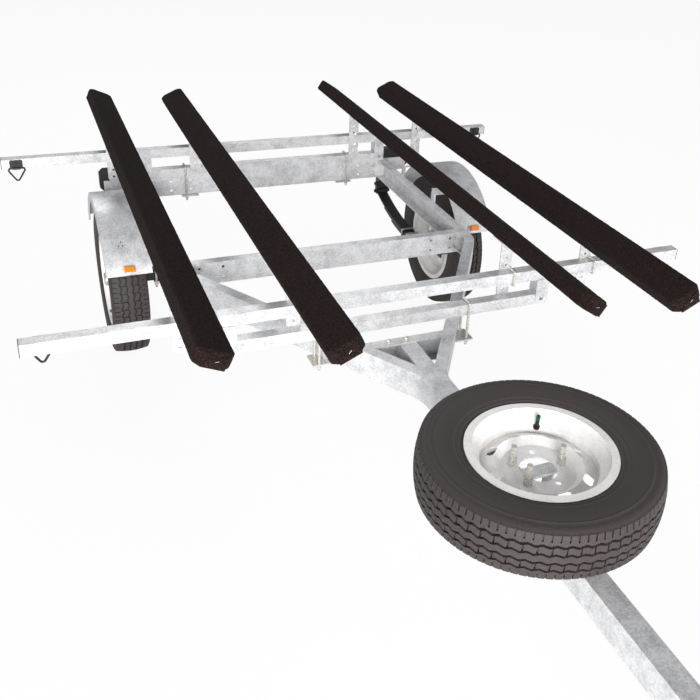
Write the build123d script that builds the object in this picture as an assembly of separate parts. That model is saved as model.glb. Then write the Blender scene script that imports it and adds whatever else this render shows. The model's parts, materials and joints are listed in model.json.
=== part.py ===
from build123d import *
import os
from math import cos, degrees, radians, sin, tan

os.makedirs("parts", exist_ok=True)

# Small boat trailer: a galvanized channel frame with a single tongue, two load
# bars on risers and four carpeted bunks in two V cradles. It parks on its two
# road wheels and a side-mounted tongue jack. Lengths are in millimetres.
# +X is the trailer's left side, +Y its rear and +Z up. Stations along Y are
# counted from the axle, forward negative, and heights from the floor.
# write() shifts every piece so that Y = 0 is the middle of the whole length.

# Stations along the trailer
ball_station = -3141.0
coupler_nose = 55.0
jack_station = -2721.0
spare_station = -1784.0
rail_nose_station = -1551.0
front_cross_station = -1067.0
front_bar_station = -991.0
middle_cross_station = -451.0
rear_bar_station = 355.0
rail_tail_station = 399.0

# Frame rails: channels, open side inward, drawn together onto the tongue
fit_gap = 0.3
rail_top = 507.0
rail_high = 76.0
rail_flange = 35.0
rail_wall = 4.0
rail_half_span = 517.0
rail_sweep_deg = 32.2
rail_bend_radius = 110.0
rail_hole_radius = 4.5
slant_hole_station = -1032.0
slant_hole_rise = 44.0
rail_bottom = rail_top - rail_high

# Tongue: rectangular tube clasped between the two rails
tongue_wide = 51.0
tongue_wall = 3.2
tongue_high = rail_high - 2 * rail_wall - 2 * fit_gap
tongue_top = rail_top - rail_wall - fit_gap
tongue_middle = tongue_top - tongue_high / 2
nose_half_span = tongue_wide / 2 + rail_wall + fit_gap

# Crossmembers
cross_flange = 32.0
cross_wall = 4.0
cross_hole_radius = 5.0
cross_hole_rise = 38.0
cross_hole_pitch = 76.0
rear_hole_inset = 161.0
middle_hole_inset = 107.0
rear_hole_span = rail_half_span - rear_hole_inset
middle_hole_span = rail_half_span - middle_hole_inset

# Lower cross tubes, risers and load bars
tube_side = 35.0
tube_wall = 2.6
tube_inset = 12.0
tube_half_length = rail_half_span - tube_inset
riser_wide = 42.0
riser_wall = 3.0
riser_rise = 49.0
riser_hole_radius = 7.0
riser_hole_rise = 20.0
bar_side = tube_side
bar_wall = 2.4
bar_half_length = 988.6
cap_flange = 2.0
cap_plug = 12.0
tube_bottom = rail_top
tube_top = tube_bottom + tube_side
bar_bottom = tube_top + riser_rise
bar_middle = bar_bottom + bar_side / 2
bar_top = bar_bottom + bar_side

# U-bolts and hexagon nuts
rod_radius = 4.0
nut_across_radius = 7.5
nut_high = 7.0
clamp_plate_wall = 5.0
clamp_plate_wide = 46.0
clamp_tail = 22.0
clamp_front_inset = 284.0
clamp_rear_inset = 181.0
clamp_front_span = rail_half_span - clamp_front_inset
clamp_rear_span = rail_half_span - clamp_rear_inset

# Bunks: carpeted boards, tilted into two V cradles
bunk_length = 2134.0
bunk_wide = 92.0
bunk_thick = 46.0
bunk_height = 723.0
bunk_corner_radius = 7.0
bunk_end_clip = 16.0

# Straps that hold the bunks on the load bars
strap_wide = 41.0
strap_wall = 4.0
strap_drop = 80.0
strap_shelf = 58.0
strap_hole_radius = 4.6
strap_hole_pitch = 27.0
strap_hole_count = 6
strap_rod_offset = 12.0
strap_rod_tail = 12.0

# Tie-down anchors
anchor_inset = 48.6
anchor_span = bar_half_length - anchor_inset
saddle_wide = 43.0
saddle_high = 30.0
saddle_thick = 5.0
saddle_loop_radius = 5.2
saddle_loop_long = 26.0
ring_wide = 66.0
ring_high = 52.0
ring_radius = 3.0
ring_corner_radius = 7.0
anchor_head_radius = 8.0
anchor_head_high = 4.0
saddle_back = 1.5
ring_depth = bar_side / 2 + 2 * fit_gap + saddle_back + ring_radius

# Tyres and wheels
tyre_radius = 269.0
tyre_wide = 122.0
tyre_tread_wide = 104.0
tyre_shoulder = 9.0
tyre_gauge = 12.0
bead_radius = 152.0
rim_flange_radius = 166.0
rim_half_width = 54.0
rim_wall = 3.0
rim_well_radius = 132.0
rim_well_half = 22.0
rim_bead_half = 40.0
bead_gap = 0.4
bead_rise = 2.0
disc_dish = 16.0
disc_hub_radius = 82.0
disc_wall = 4.0
window_count = 8
window_radius = 108.0
window_wide = 34.0
window_tall = 22.0
window_corner = 8.0
pilot_radius = 42.0
lug_circle_radius = 57.15
lug_count = 5
lug_hole_radius = 7.2
stud_radius = 6.3
stud_long = 30.0
lug_nut_radius = 11.0
lug_nut_high = 15.0
track_outset = 128.0
half_track = rail_half_span + track_outset
axle_height = tyre_radius

# Hubs and axle
bearing_gap = 0.05
hub_flange_radius = 72.0
hub_flange_wall = 9.0
hub_barrel_radius = 36.0
hub_back = 52.0
hub_front = 34.0
dust_cap_radius = 25.0
dust_cap_long = 26.0
dust_cap_round = 7.0
spindle_radius = 15.0
spindle_shoulder_radius = 22.0
axle_side = 38.0

# Leaf springs, hangers and shackles
spring_span = rail_half_span - rail_flange / 2
spring_half_length = 320.0
spring_camber = 62.0
spring_wide = 44.0
leaf_thick = 8.0
eye_radius = 15.0
eye_bolt_radius = 7.0
hanger_wall = 5.0
hanger_wide = 60.0
hanger_wrap = 20.0
shackle_long = 34.0
spring_plate_wall = 8.0
spring_rod_tail = 18.0

# Fenders
fender_radius = 315.0
fender_wall = 2.0
fender_gap = 53.0
fender_wide = 146.0
fender_inner_span = rail_half_span + fender_gap
fender_outer_span = fender_inner_span + fender_wide
fender_skirt = 30.0
fender_end_deg = 27.0
fender_arm_deg = 62.0
fender_arm_arc_deg = 6.0
fender_arm_wall = 4.0
fender_arm_drop = 52.0

# Lamps
lamp_outset = 73.0
lamp_span = rail_half_span + lamp_outset
lamp_wide = 126.0
lamp_high = 84.0
lamp_deep = 34.0
lamp_lens_deep = 16.0
lamp_clip = 14.0
lamp_rim = 4.0
lamp_centre_height = 490.0
lamp_plate_wall = 4.0
lamp_plate_high = 56.0
marker_wide = 34.0
marker_high = 20.0
marker_deep = 12.0

# Coupler for a 2 inch ball
ball_radius = 25.4
ball_height = 452.0
socket_gap = 0.6
coupler_wall = 5.0
coupler_long = 235.0
coupler_wide = tongue_wide + 2 * (coupler_wall + fit_gap)
latch_wide = 26.0
latch_long = 120.0
latch_high = 22.0
latch_wall = 4.0
latch_slope_deg = 14.0

# Spare wheel carrier
spare_bottom = 523.0
spare_middle = spare_bottom + tyre_wide / 2
carrier_wide = 64.0
carrier_wall = 5.0
carrier_long = 150.0
carrier_bar_wide = 34.0
carrier_bar_wall = 6.0
carrier_rod_radius = 6.3
carrier_rod_long = 52.0

# Tongue jack on a side swivel
jack_offset = 128.0
jack_outer_radius = 28.5
jack_outer_wall = 3.0
jack_inner_radius = 25.0
jack_inner_wall = 3.0
jack_sleeve_gap = 0.08
jack_outer_bottom = 340.0
jack_outer_top = 640.0
jack_cap_high = 14.0
jack_inner_bottom = 172.0
jack_raise = 110.0
jack_head_gap = 6.0
jack_inner_top = jack_outer_top - jack_head_gap - jack_raise
jack_barrel_radius = 30.0
jack_socket_wall = 5.0
jack_plate_wall = 6.0
jack_plate_side = 110.0
jack_rod_spread = 84.0
jack_wheel_radius = 72.0
jack_wheel_wide = 34.0
jack_wheel_bore = 8.0
jack_recess_share = 0.72
jack_trail = 22.0
fork_wall = 4.0
fork_gap = 5.0
fork_wide = 36.0
fork_top = 158.0
jack_pin_radius = 7.9
jack_swivel_plate = 6.0
crank_drop = 34.0
crank_arm = 118.0
crank_grip = 84.0
crank_radius = 6.0
crank_grip_radius = 12.0

# Cuts run this far past a face
overrun = 10.0

# Places of the bunks: across from the ends of the low cross tubes, and how
# far each bunk's middle lies ahead of the axle
outer_right_outset = 91.0
inner_right_inset = 199.0
inner_left_inset = 127.0
outer_left_outset = 137.0
outer_right_ahead = 301.0
inner_right_ahead = 356.0
inner_left_ahead = 341.0
outer_left_ahead = 391.0

# Bunk table: name, place across, tilt in degrees (positive: left edge high),
# shift of the bunk's middle from the axle
bunks = (
    ("bunk_outer_right", -tube_half_length - outer_right_outset, -24.0, -outer_right_ahead),
    ("bunk_inner_right", -tube_half_length + inner_right_inset, 25.0, -inner_right_ahead),
    ("bunk_inner_left", tube_half_length - inner_left_inset, -33.0, -inner_left_ahead),
    ("bunk_outer_left", tube_half_length + outer_left_outset, 26.0, -outer_left_ahead),
)

rear_tip = max(middle for name, across, tilt, middle in bunks) + bunk_length / 2
front_tip = ball_station - coupler_nose
middle_station = (rear_tip + front_tip) / 2


def write(name, shape):
    """Move a piece to the part's frame and write it."""
    placed = Pos(0, -middle_station, 0) * shape
    export_step(placed, f"parts/{name}.step")


def joined(pieces):
    """One shape of all pieces; those that touch become one solid."""
    total = pieces[0]
    for piece in pieces[1:]:
        total = total + piece
    return total


def both_sides(piece):
    """A piece and its mirror image on the other side."""
    return [piece, mirror(piece, about=Plane.YZ)]


def block(x_range, y_range, z_range):
    """Box between two corners."""
    size = [high - low for low, high in (x_range, y_range, z_range)]
    centre = [(high + low) / 2 for low, high in (x_range, y_range, z_range)]
    return Pos(*centre) * Box(*size)


def rod_x(radius, length, centre):
    return Pos(*centre) * Rot(0, 90, 0) * Cylinder(radius, length)


def rod_y(radius, length, centre):
    return Pos(*centre) * Rot(90, 0, 0) * Cylinder(radius, length)


def rod_z(radius, length, centre):
    return Pos(*centre) * Cylinder(radius, length)


def prism_y(points, y_low, y_high):
    """Outline of (x, z) points pushed along Y."""
    outline = make_face(Polyline(*[(x, y_low, z) for x, z in points], close=True))
    return extrude(outline, amount=y_high - y_low, dir=(0, 1, 0))


def prism_x(points, x_low, x_high):
    """Outline of (y, z) points pushed along X."""
    outline = make_face(Polyline(*[(x_low, y, z) for y, z in points], close=True))
    return extrude(outline, amount=x_high - x_low, dir=(1, 0, 0))


def square_tube_x(side, wall, half_length, station, middle):
    """Square tube across the trailer."""
    outer = Pos(0, station, middle) * Box(2 * half_length, side, side)
    inner_side = side - 2 * wall
    inner = Pos(0, station, middle) * Box(2 * (half_length + overrun), inner_side, inner_side)
    return outer - inner


def hex_nut(centre, turned=(0, 0, 0)):
    """Hexagon nut with its bore; its axis is Z before it is turned."""
    body = extrude(RegularPolygon(nut_across_radius, 6), amount=nut_high / 2, both=True)
    bore = Cylinder(rod_radius, nut_high + overrun)
    return Pos(*centre) * Rot(*turned) * (body - bore)


def bent_rod(points, radius, bend):
    """Round rod along straight runs with round bends."""
    path = FilletPolyline(*points, radius=bend)
    start = path @ 0
    section = Plane(origin=start, z_dir=path % 0) * Circle(radius)
    return sweep(section, path=path)


front_bend_station = middle_cross_station - rail_bend_radius / 2


def rail_path():
    """Outer face of the left rail, seen from above, from tail to nose."""
    slope = tan(radians(rail_sweep_deg))
    nose_bend = front_bend_station - (rail_half_span - nose_half_span) / slope
    return (
        (rail_half_span, rail_tail_station),
        (rail_half_span, front_bend_station),
        (nose_half_span, nose_bend),
        (nose_half_span, rail_nose_station),
    )


def rail_outer_at(station):
    """Half span over the rails' outer faces on their slanted stretch."""
    slope = tan(radians(rail_sweep_deg))
    return rail_half_span + slope * (station - front_bend_station)


def rail_sweep(section_points):
    """Sweep a section of (inward, height) points along the left rail."""
    points = [(rail_half_span - inward, rail_tail_station, height) for inward, height in section_points]
    section = make_face(Polyline(*points, close=True))
    path = FilletPolyline(*[(x, y, rail_bottom) for x, y in rail_path()], radius=rail_bend_radius)
    return sweep(section, path=path)


def left_rail():
    """Channel bent in plan, with its flanges trimmed where the rails meet."""
    inner_low = rail_bottom + rail_wall
    inner_high = rail_top - rail_wall
    channel = rail_sweep((
        (0, rail_bottom),
        (rail_flange, rail_bottom),
        (rail_flange, inner_low),
        (rail_wall, inner_low),
        (rail_wall, inner_high),
        (rail_flange, inner_high),
        (rail_flange, rail_top),
        (0, rail_top),
    ))
    beyond = block(
        (-rail_flange, fit_gap),
        (rail_nose_station - overrun, rail_tail_station),
        (rail_bottom - overrun, rail_top + overrun),
    )
    rail = channel - beyond
    middle = (rail_bottom + rail_top) / 2
    for station in web_hole_stations:
        rail -= rod_x(rail_hole_radius, 2 * rail_flange, (rail_half_span, station, middle))
    for side in (-1, 1):
        across = rail_outer_at(slant_hole_station)
        place = Pos(across, slant_hole_station, middle + side * slant_hole_rise / 2)
        rail -= place * Rot(0, 0, -rail_sweep_deg) * Rot(0, 90, 0) * Cylinder(rail_hole_radius, rail_flange)
    return rail


web_hole_stations = [rail_tail_station - share * rail_high for share in (0.5, 1.0, 8.0, 9.0)]


def rail_envelope(grow):
    """Block that the left rail's channel fills, grown by a clearance."""
    return rail_sweep((
        (-grow, rail_bottom - grow),
        (rail_flange + grow, rail_bottom - grow),
        (rail_flange + grow, rail_top + grow),
        (-grow, rail_top + grow),
    ))


def rail_web(grow):
    """Web of the left rail alone, grown by a clearance."""
    return rail_sweep((
        (-grow, rail_bottom),
        (rail_wall + grow, rail_bottom),
        (rail_wall + grow, rail_top),
        (-grow, rail_top),
    ))


envelope_left = rail_envelope(fit_gap)
web_left = rail_web(fit_gap)
envelopes = both_sides(envelope_left)
webs = both_sides(web_left)


def crossmember(web_station, flange_side, half_reach):
    """Channel across the frame. Its flanges stop at the rails' flanges and its
    web runs on between them. flange_side is +1 or -1 along Y."""
    wall = web_station + flange_side * cross_wall
    far = web_station + flange_side * cross_flange
    across = (-half_reach, half_reach)
    channel = block(across, sorted((web_station, far)), (rail_bottom, rail_top))
    channel -= block(
        (-half_reach - overrun, half_reach + overrun),
        sorted((wall, far + flange_side * overrun)),
        (rail_bottom + cross_wall, rail_top - cross_wall),
    )
    web_heights = (rail_bottom + rail_wall + fit_gap, rail_top - rail_wall - fit_gap)
    web = block(across, sorted((web_station, wall)), web_heights)
    for envelope, rail_side in zip(envelopes, webs):
        channel -= envelope
        web -= rail_side
    between_rails = max((channel + web).solids(), key=lambda solid: solid.volume)
    return between_rails


def punch(piece, places, web_station):
    """Round holes through a crossmember's web at (x, height) places."""
    for x, height in places:
        piece -= rod_y(cross_hole_radius, 2 * cross_wall + overrun, (x, web_station, height))
    return piece


def square_u_bolt(across, low, top):
    """Square U-bolt over a tube that runs along X; its legs hang at +-Y."""
    half = tube_side / 2 + rod_radius + fit_gap
    points = (
        (across, -half, low),
        (across, -half, top),
        (across, half, top),
        (across, half, low),
    )
    return bent_rod(points, rod_radius, rod_radius + fit_gap), half


def tube_clamp(across, station):
    """U-bolt over a lower tube, with the plate and nuts below the frame."""
    top = tube_top + rod_radius + fit_gap
    low = rail_bottom - clamp_tail
    bolt, half = square_u_bolt(across, low, top)
    plate_top = rail_bottom - fit_gap
    plate = block(
        (across - clamp_plate_wide, across + clamp_plate_wide / 2 - rod_radius),
        (-half - 2 * rod_radius, half + 2 * rod_radius),
        (plate_top - clamp_plate_wall, plate_top),
    )
    pieces = [bolt, plate]
    for side in (-1, 1):
        nut_middle = plate_top - clamp_plate_wall - nut_high / 2
        pieces.append(hex_nut((across, side * half, nut_middle)))
    return Pos(0, station, 0) * joined(pieces)


def riser():
    """Folded riser at the left end of a lower tube, under the load bar."""
    inner = tube_half_length - riser_wide
    outer = tube_half_length
    half = tube_side / 2 + fit_gap
    low = tube_bottom + riser_wall
    side_web = block((inner, inner + riser_wall), (-half, half), (tube_top + fit_gap, bar_bottom))
    top = block((inner, outer), (-half, half), (bar_bottom - riser_wall, bar_bottom))
    piece = side_web + top
    for side in (-1, 1):
        faces = sorted((side * half, side * (half + riser_wall)))
        cheek = block((inner, outer), faces, (low, bar_bottom))
        lower_edges = cheek.edges().filter_by(Axis.Y).group_by(Axis.Z)[0]
        piece += fillet(lower_edges, riser_wide / 4)
    hole_height = tube_bottom + riser_hole_rise
    hole = rod_y(riser_hole_radius, 4 * tube_side, ((inner + outer) / 2, 0, hole_height))
    return piece - hole


def end_cap(station):
    """Black plug with a thin flange in the left end of a load bar."""
    side = bar_side - 2 * bar_wall - 2 * fit_gap
    flange = block(
        (bar_half_length, bar_half_length + cap_flange),
        (station - bar_side / 2, station + bar_side / 2),
        (bar_bottom, bar_top),
    )
    plug = block(
        (bar_half_length - cap_plug, bar_half_length),
        (station - side / 2, station + side / 2),
        (bar_middle - side / 2, bar_middle + side / 2),
    )
    return flange + plug


def bunk(across, tilt, middle):
    """Carpeted board with rounded edges and clipped ends."""
    board = Box(bunk_wide, bunk_length, bunk_thick)
    board = chamfer(board.edges().filter_by(Axis.Z), bunk_end_clip)
    board = fillet(board.edges().filter_by(Axis.Y), bunk_corner_radius)
    return Pos(across, middle, bunk_height) * Rot(0, -tilt, 0) * board


def bunk_foot(across, tilt):
    """Middle of the bunk's underside, as (x, z)."""
    turn = radians(tilt)
    x = across + bunk_thick / 2 * sin(turn)
    z = bunk_height - bunk_thick / 2 * cos(turn)
    return x, z


def strap(across, tilt, station, inward):
    """Perforated strap on a load bar with its shelf under the bunk.
    inward is +1 or -1: the side of the bar on which the strap stands."""
    foot_x, foot_z = bunk_foot(across, tilt)
    turn = radians(tilt)
    face = station + inward * (bar_side / 2 + fit_gap)
    back = face + inward * strap_wall
    low = bar_bottom - strap_drop
    half = strap_wide / 2
    under = foot_z - fit_gap / cos(turn)
    top_left = under - half * tan(turn)
    top_right = under + half * tan(turn)
    plate = prism_y(
        ((foot_x - half, low + half), (foot_x + half, low + half),
         (foot_x + half, top_right), (foot_x - half, top_left)),
        min(face, back), max(face, back),
    )
    plate += rod_y(half, strap_wall, (foot_x, (face + back) / 2, low + half))
    shelf_far = face + inward * strap_shelf
    shelf_y = sorted((face, shelf_far))
    shelf = Box(strap_wide, shelf_y[1] - shelf_y[0], strap_wall)
    shelf_x = foot_x + (strap_wall / 2 + fit_gap) * sin(turn)
    shelf_z = foot_z - (strap_wall / 2 + fit_gap) * cos(turn)
    plate += Pos(shelf_x, sum(shelf_y) / 2, shelf_z) * Rot(0, -tilt, 0) * shelf
    for step in range(strap_hole_count):
        height = low + half + step * strap_hole_pitch
        plate -= rod_y(strap_hole_radius, 4 * strap_wall, (foot_x, (face + back) / 2, height))
    return plate


def strap_clamp(across, tilt, station, inward):
    """U-bolt round the load bar, through the strap, with two nuts."""
    foot_x, foot_z = bunk_foot(across, tilt)
    x = foot_x + strap_rod_offset
    outer = station - inward * (bar_side / 2 + rod_radius + fit_gap)
    tail = station + inward * (bar_side / 2 + strap_wall + strap_rod_tail)
    rise = bar_side / 2 + rod_radius + fit_gap
    points = (
        (x, tail, bar_middle - rise),
        (x, outer, bar_middle - rise),
        (x, outer, bar_middle + rise),
        (x, tail, bar_middle + rise),
    )
    pieces = [bent_rod(points, rod_radius, rod_radius + fit_gap)]
    nut_station = station + inward * (bar_side / 2 + strap_wall + 2 * fit_gap + nut_high / 2)
    for side in (-1, 1):
        pieces.append(hex_nut((x, nut_station, bar_middle + side * rise), (90, 0, 0)))
    return joined(pieces)


def strap_with_holes(across, tilt, station, inward):
    """The strap with clearance holes for its U-bolt."""
    foot_x, foot_z = bunk_foot(across, tilt)
    piece = strap(across, tilt, station, inward)
    rise = bar_side / 2 + rod_radius + fit_gap
    for side in (-1, 1):
        centre = (foot_x + strap_rod_offset, station, bar_middle + side * rise)
        piece -= rod_y(rod_radius + fit_gap, 4 * bar_side, centre)
    return piece


def anchor_saddle(across, station, inward):
    """Saddle plate with a loop for the ring and a round bolt head."""
    face = station + inward * (bar_side / 2 + fit_gap)
    far = face + inward * saddle_thick
    plate = Box(saddle_wide, saddle_thick, saddle_high)
    plate = fillet(plate.edges().filter_by(Axis.Y), saddle_loop_radius)
    plate = Pos(across, (face + far) / 2, bar_middle) * plate
    head_station = far + inward * anchor_head_high / 2
    plate += rod_y(anchor_head_radius, anchor_head_high, (across, head_station, bar_middle))
    loop_height = bar_middle - saddle_high / 2
    loop_station = station + inward * ring_depth
    loop = rod_x(saddle_loop_radius, saddle_loop_long, (across, loop_station, loop_height))
    bore = rod_x(ring_radius + fit_gap, saddle_wide, (across, loop_station, loop_height))
    loop -= block(
        (across - saddle_wide, across + saddle_wide),
        sorted((station, face)),
        (loop_height - saddle_high, loop_height + saddle_high),
    )
    return (plate + loop) - bore


def anchor_ring(across, station, inward):
    """Triangular wire ring that hangs point down from its saddle."""
    y = station + inward * ring_depth
    top = bar_middle - saddle_high / 2
    half = ring_wide / 2
    points = (
        (across + half, y, top),
        (across, y, top - ring_high),
        (across - half, y, top),
    )
    path = FilletPolyline(*points, radius=ring_corner_radius, close=True)
    section = Plane(origin=path @ 0, z_dir=path % 0) * Circle(ring_radius)
    return sweep(section, path=path)


def tyre_ring():
    """Tyre as a ring about Z, centred on its middle plane."""
    half = tyre_wide / 2
    tread_half = tyre_tread_wide / 2
    middle_radius = (tyre_radius + bead_radius) / 2
    tread_edge = tyre_radius - tyre_shoulder
    bead_half = rim_half_width - 2 * rim_wall - bead_gap
    side_radius = rim_flange_radius + bead_rise
    side_half = bead_half + rim_wall
    outer = [
        Line((bead_radius, -bead_half), (bead_radius, bead_half)),
        Line((bead_radius, bead_half), (side_radius, side_half)),
        ThreePointArc((side_radius, side_half), (middle_radius, half), (tread_edge, tread_half)),
        ThreePointArc((tread_edge, tread_half), (tyre_radius, 0), (tread_edge, -tread_half)),
        ThreePointArc((tread_edge, -tread_half), (middle_radius, -half), (side_radius, -side_half)),
        Line((side_radius, -side_half), (bead_radius, -bead_half)),
    ]
    section = make_face(outer)
    cavity = offset(section, amount=-tyre_gauge)
    throat = Pos(bead_radius, 0) * Rectangle(4 * tyre_gauge, 2 * (bead_half - tyre_gauge))
    section = section - cavity - throat
    return revolve(Plane.XZ * section, axis=Axis.Z)


def wheel_disc():
    """Rim with a dished, windowed disc; its outer face looks along +Z."""
    rim_points = (
        (rim_flange_radius, rim_half_width),
        (rim_flange_radius, rim_half_width - rim_wall),
        (bead_radius - fit_gap, rim_half_width - 2 * rim_wall),
        (bead_radius - fit_gap, rim_bead_half),
        (rim_well_radius, rim_well_half),
        (rim_well_radius, -rim_well_half),
        (bead_radius - fit_gap, -rim_bead_half),
        (bead_radius - fit_gap, -rim_half_width + 2 * rim_wall),
        (rim_flange_radius, -rim_half_width + rim_wall),
        (rim_flange_radius, -rim_half_width),
        (bead_radius - rim_wall - fit_gap, -rim_half_width),
        (bead_radius - rim_wall - fit_gap, -rim_bead_half),
        (rim_well_radius - rim_wall, -rim_well_half + rim_wall / 2),
        (rim_well_radius - rim_wall, rim_well_half - rim_wall / 2),
        (bead_radius - rim_wall - fit_gap, rim_bead_half),
        (bead_radius - rim_wall - fit_gap, rim_half_width),
    )
    rim = revolve(Plane.XZ * make_face(Polyline(*rim_points, close=True)), axis=Axis.Z)
    disc_points = (
        (pilot_radius, 0),
        (disc_hub_radius, 0),
        (disc_hub_radius + disc_dish, disc_dish),
        (rim_well_radius - rim_wall, 0),
        (rim_well_radius - rim_wall, -disc_wall),
        (disc_hub_radius + disc_dish, disc_dish - disc_wall),
        (disc_hub_radius, -disc_wall),
        (pilot_radius, -disc_wall),
    )
    disc = revolve(Plane.XZ * make_face(Polyline(*disc_points, close=True)), axis=Axis.Z)
    wheel = rim + disc
    window = extrude(
        fillet(Rectangle(window_tall, window_wide).vertices(), window_corner),
        amount=rim_half_width, both=True)
    for turn in range(window_count):
        wheel -= Rot(0, 0, turn * 360 / window_count) * Pos(window_radius, 0, 0) * window
    for turn in range(lug_count):
        hole = Pos(lug_circle_radius, 0, 0) * Cylinder(lug_hole_radius, rim_half_width)
        wheel -= Rot(0, 0, turn * 360 / lug_count) * hole
    return wheel


def hub():
    """Hub about Z with the wheel's seat at z = -disc_wall, outside up."""
    seat = -disc_wall - fit_gap
    flange = Pos(0, 0, seat - hub_flange_wall / 2) * Cylinder(hub_flange_radius, hub_flange_wall)
    barrel_low = seat - hub_flange_wall - hub_back
    barrel = Pos(0, 0, (barrel_low + hub_front) / 2) * Cylinder(
        hub_barrel_radius, hub_front - barrel_low)
    cap = Pos(0, 0, hub_front + dust_cap_long / 2) * Cylinder(dust_cap_radius, dust_cap_long)
    cap = fillet(cap.edges().group_by(Axis.Z)[-1], dust_cap_round)
    body = flange + barrel + cap
    bore_top = hub_front
    bore = Pos(0, 0, (barrel_low - overrun + bore_top) / 2) * Cylinder(
        spindle_radius + bearing_gap, bore_top - barrel_low + overrun)
    body -= bore
    for turn in range(lug_count):
        place = Rot(0, 0, turn * 360 / lug_count) * Pos(lug_circle_radius, 0, 0)
        body += place * Pos(0, 0, stud_long / 2 + seat) * Cylinder(stud_radius, stud_long)
        nut = extrude(RegularPolygon(lug_nut_radius, 6), amount=lug_nut_high)
        body += place * Pos(0, 0, fit_gap) * nut
    return body


def on_left_hub(piece):
    """Turn a piece made about Z so that its outside looks to the left (+X)."""
    return Pos(half_track, 0, axle_height) * Rot(0, 90, 0) * piece


def axle_beam():
    """Square axle with a round spindle at each end."""
    seat_back = half_track - disc_wall - fit_gap - hub_flange_wall - hub_back
    beam_half = seat_back - fit_gap - spindle_radius
    beam = Pos(0, 0, axle_height) * Box(2 * beam_half, axle_side, axle_side)
    tip = half_track + hub_front - spindle_radius
    for side in (-1, 1):
        shoulder_mid = (beam_half + seat_back) / 2
        shoulder = rod_x(
            spindle_shoulder_radius, seat_back - beam_half - fit_gap,
            (side * shoulder_mid, 0, axle_height))
        spindle_mid = (beam_half + tip) / 2
        spindle = rod_x(spindle_radius, tip - beam_half, (side * spindle_mid, 0, axle_height))
        beam += shoulder
        beam += spindle
    return beam


spring_seat = axle_height + axle_side / 2 + fit_gap
spring_leaves = 3
leaf_share = (1.0, 0.72, 0.46)
spring_pack = spring_leaves * leaf_thick
eye_height = spring_seat + spring_pack + spring_camber


def leaf(order):
    """One curved leaf, longest on top; order 0 is the main leaf."""
    top = spring_seat + spring_pack - order * leaf_thick
    reach = spring_half_length * leaf_share[order]
    rise = spring_camber * leaf_share[order] ** 2
    arc_top = [(-reach, top + rise), (0, top), (reach, top + rise)]
    low = top - leaf_thick
    arc_low = [(reach, low + rise), (0, low), (-reach, low + rise)]
    outline = make_face([
        ThreePointArc(*arc_top),
        Line(arc_top[2], arc_low[0]),
        ThreePointArc(*arc_low),
        Line(arc_low[2], arc_top[0]),
    ])
    return extrude(Plane.YZ * outline, amount=spring_wide / 2, both=True)


def leaf_spring():
    """Leaf pack with an eye at each end of the main leaf."""
    pack = joined([leaf(order) for order in range(spring_leaves)])
    for side in (-1, 1):
        eye_place = (0, side * spring_half_length, eye_height)
        pack += rod_x(eye_radius, spring_wide, eye_place)
        pack -= rod_x(eye_bolt_radius + fit_gap, 2 * spring_wide, eye_place)
    return pack


def hanger_set():
    """Fixed front hanger, rear hanger with its shackle links, and bolts."""
    half = spring_wide / 2 + fit_gap
    cheek_out = half + hanger_wall
    top = rail_bottom - fit_gap
    pieces = []
    front = block((-cheek_out, cheek_out), (-hanger_wide / 2, hanger_wide / 2), (top - hanger_wall, top))
    for side in (-1, 1):
        cheek_x = sorted((side * half, side * cheek_out))
        front += block(cheek_x, (-hanger_wrap, hanger_wrap), (eye_height - hanger_wrap, top))
    front += rod_x(eye_bolt_radius, 2 * (cheek_out + nut_high), (0, 0, eye_height))
    pieces.append(Pos(0, -spring_half_length, 0) * front)
    link_top = eye_height + shackle_long
    pivot_plate = block(
        (-half + fit_gap, half - fit_gap), (-hanger_wrap, hanger_wrap),
        (link_top - eye_bolt_radius - hanger_wall, top))
    rear = pivot_plate
    for side in (-1, 1):
        link_x = sorted((side * half, side * cheek_out))
        link = block(link_x, (-hanger_wrap / 2, hanger_wrap / 2), (eye_height, link_top))
        link += rod_x(hanger_wrap / 2, hanger_wall, (side * (half + cheek_out) / 2, 0, eye_height))
        link += rod_x(hanger_wrap / 2, hanger_wall, (side * (half + cheek_out) / 2, 0, link_top))
        rear += link
    for height in (eye_height, link_top):
        rear += rod_x(eye_bolt_radius, 2 * (cheek_out + nut_high), (0, 0, height))
    pieces.append(Pos(0, spring_half_length, 0) * rear)
    return joined(pieces)


def axle_clamp():
    """Two U-bolts over the leaf pack with the plate below the axle."""
    half = spring_wide / 2 + rod_radius + fit_gap
    reach = axle_side / 2 + rod_radius + fit_gap
    rise = spring_camber * ((reach + rod_radius) / spring_half_length) ** 2
    top = spring_seat + spring_pack + rise + rod_radius + fit_gap
    plate_top = axle_height - axle_side / 2 - fit_gap
    low = plate_top - spring_plate_wall - spring_rod_tail
    pieces = []
    plate = block(
        (-half - 2 * rod_radius, half + 2 * rod_radius),
        (-reach - 2 * rod_radius, reach + 2 * rod_radius),
        (plate_top - spring_plate_wall, plate_top),
    )
    pieces.append(plate)
    for station in (-reach, reach):
        points = (
            (-half, station, low), (-half, station, top),
            (half, station, top), (half, station, low))
        pieces.append(bent_rod(points, rod_radius, rod_radius + fit_gap))
        for side in (-1, 1):
            nut_middle = plate_top - spring_plate_wall - nut_high / 2
            pieces.append(hex_nut((side * half, station, nut_middle)))
    return joined(pieces)


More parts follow.
